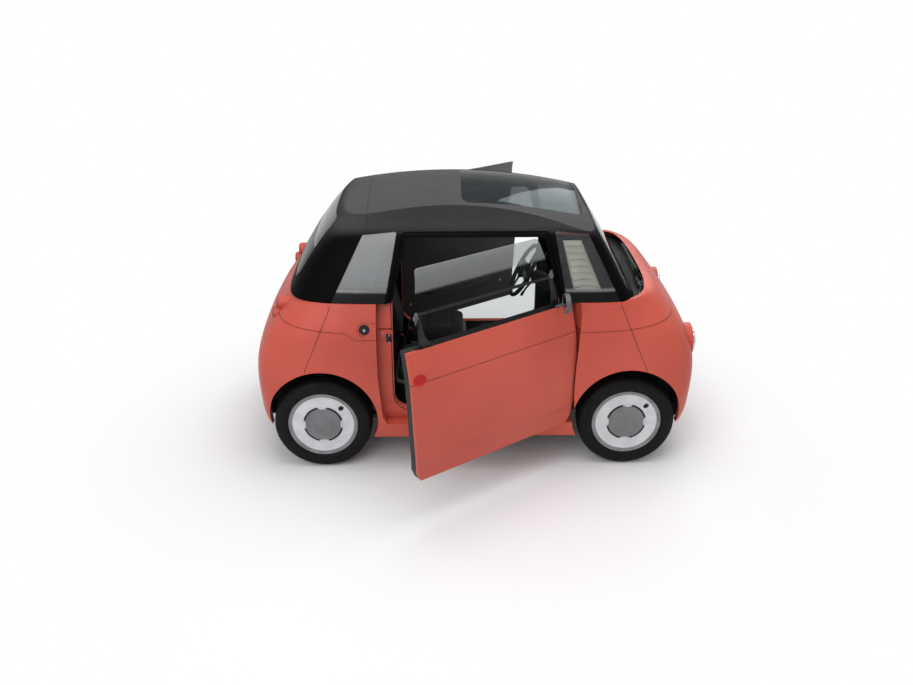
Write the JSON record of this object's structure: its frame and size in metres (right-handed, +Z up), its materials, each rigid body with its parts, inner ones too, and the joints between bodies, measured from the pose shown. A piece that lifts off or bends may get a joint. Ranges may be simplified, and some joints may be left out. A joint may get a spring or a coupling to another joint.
{
  "type": "microcar",
  "caption": "Two-seat electric microcar with a hollow cabin, both doors standing open, free-turning wheels and linked steering.",
  "frame": {"origin": "on the floor, midway between the axles and between the two sides", "axes": "+X forward, +Y to the car's left, +Z up"},
  "size_m": [2.535, 2.5816, 1.53],
  "materials": {
    "body_paint": "coral gloss plastic skin",
    "roof_paint": "black gloss",
    "glass": "clear",
    "tyre": "matt",
    "wheel_paint": "silver grey satin",
    "dark_trim": "matt",
    "grey_trim": "satin",
    "seat_cloth": "woven",
    "pale_plastic": "satin",
    "frame_paint": "black satin",
    "bare_steel": "machined",
    "cast_metal": "cast",
    "lamp_lens": "clear lens",
    "red_lens": "red lens",
    "aluminium": "cast"
  },
  "bodies": {
    "body": {"battery_box": "aluminium", "bulkhead": "frame_paint", "chassis_frame": "frame_paint", "cowl": "dark_trim", "dashboard": "dark_trim", "door_hinges": "bare_steel", "drive_shafts": "bare_steel", "driver_controls": "dark_trim", "floor_pan": "frame_paint", "front_cap": "body_paint", "front_lower_arms": "frame_paint", "head_lamps": "lamp_lens", "lamp_lids": "body_paint", "motor_block": "aluminium", "pillar_pad": "pale_plastic", "plate_holder": "dark_trim", "quarter_windows": "glass", "rack_housing": "aluminium", "rear_axle_beam": "frame_paint", "rear_cap": "body_paint", "rear_hoop": "roof_paint", "rear_shelf": "dark_trim", "rear_window": "glass", "roof_frame": "roof_paint", "roof_glass": "glass", "seat_backrests": "seat_cloth", "seat_cushions": "seat_cloth", "seat_plinths": "dark_trim", "side_panel_left": "body_paint", "side_panel_right": "body_paint", "small_lamps": "red_lens", "steering_column": "dark_trim", "suspension_struts": "frame_paint", "tail_lamps": "red_lens", "wheel_housings": "dark_trim", "windscreen": "glass", "wiper": "dark_trim"},
    "door_right": {"door_right_glass": "glass", "door_right_inner": "dark_trim", "door_right_skin": "body_paint", "mirror_right": "dark_trim"},
    "door_left": {"door_left_glass": "glass", "door_left_inner": "dark_trim", "door_left_skin": "body_paint", "mirror_left": "dark_trim"},
    "knuckle_right": {"knuckle_right": "cast_metal"},
    "knuckle_left": {"knuckle_left": "cast_metal"},
    "wheel_front_right": {"tyre_front_right": "tyre", "rim_front_right": "wheel_paint"},
    "wheel_front_left": {"tyre_front_left": "tyre", "rim_front_left": "wheel_paint"},
    "wheel_rear_right": {"tyre_rear_right": "tyre", "rim_rear_right": "wheel_paint"},
    "wheel_rear_left": {"tyre_rear_left": "tyre", "rim_rear_left": "wheel_paint"},
    "steering_wheel": {"steering_wheel": "dark_trim"},
    "steering_rack": {"tie_rods": "bare_steel"}
  },
  "joints": [
    {"name": "door_right_swing", "type": "hinge", "parent": "body", "child": "door_right", "pos_m": [0.512, -0.655, 0.565], "axis": [0, 0, 1], "range_deg": [-35, 35]},
    {"name": "door_left_swing", "type": "hinge", "parent": "body", "child": "door_left", "pos_m": [-0.512, 0.655, 0.565], "axis": [0, 0, 1], "range_deg": [-35, 35]},
    {"name": "steer_right", "type": "hinge", "parent": "body", "child": "knuckle_right", "pos_m": [0.865, -0.552, 0.176], "axis": [0, 0.1908, 0.9816], "range_deg": [-30, 30]},
    {"name": "steer_left", "type": "hinge", "parent": "body", "child": "knuckle_left", "pos_m": [0.865, 0.552, 0.176], "axis": [0, -0.1908, 0.9816], "range_deg": [-30, 30]},
    {"name": "spin_front_right", "type": "hinge", "parent": "knuckle_right", "child": "wheel_front_right", "pos_m": [0.865, -0.5875, 0.2785], "axis": [0, 1, 0], "continuous": true},
    {"name": "spin_front_left", "type": "hinge", "parent": "knuckle_left", "child": "wheel_front_left", "pos_m": [0.865, 0.5875, 0.2785], "axis": [0, 1, 0], "continuous": true},
    {"name": "spin_rear_right", "type": "hinge", "parent": "body", "child": "wheel_rear_right", "pos_m": [-0.865, -0.5875, 0.2785], "axis": [0, 1, 0], "continuous": true},
    {"name": "spin_rear_left", "type": "hinge", "parent": "body", "child": "wheel_rear_left", "pos_m": [-0.865, 0.5875, 0.2785], "axis": [0, 1, 0], "continuous": true},
    {"name": "steering_wheel_turn", "type": "hinge", "parent": "body", "child": "steering_wheel", "pos_m": [0.34, 0.262, 0.86], "axis": [-0.8829, 0, 0.4695], "range_deg": [-425, 425]},
    {"name": "rack_slide", "type": "slide", "parent": "body", "child": "steering_rack", "axis": [0, 1, 0], "range_m": [-0.062, 0.062]}
  ],
  "couplings": [
    {"joint": "steer_left", "follows": "steer_right", "ratio": 1},
    {"joint": "steering_wheel_turn", "follows": "steer_right", "ratio": 14},
    {"joint": "rack_slide", "follows": "steer_right", "m_per_rad": -0.115}
  ]
}
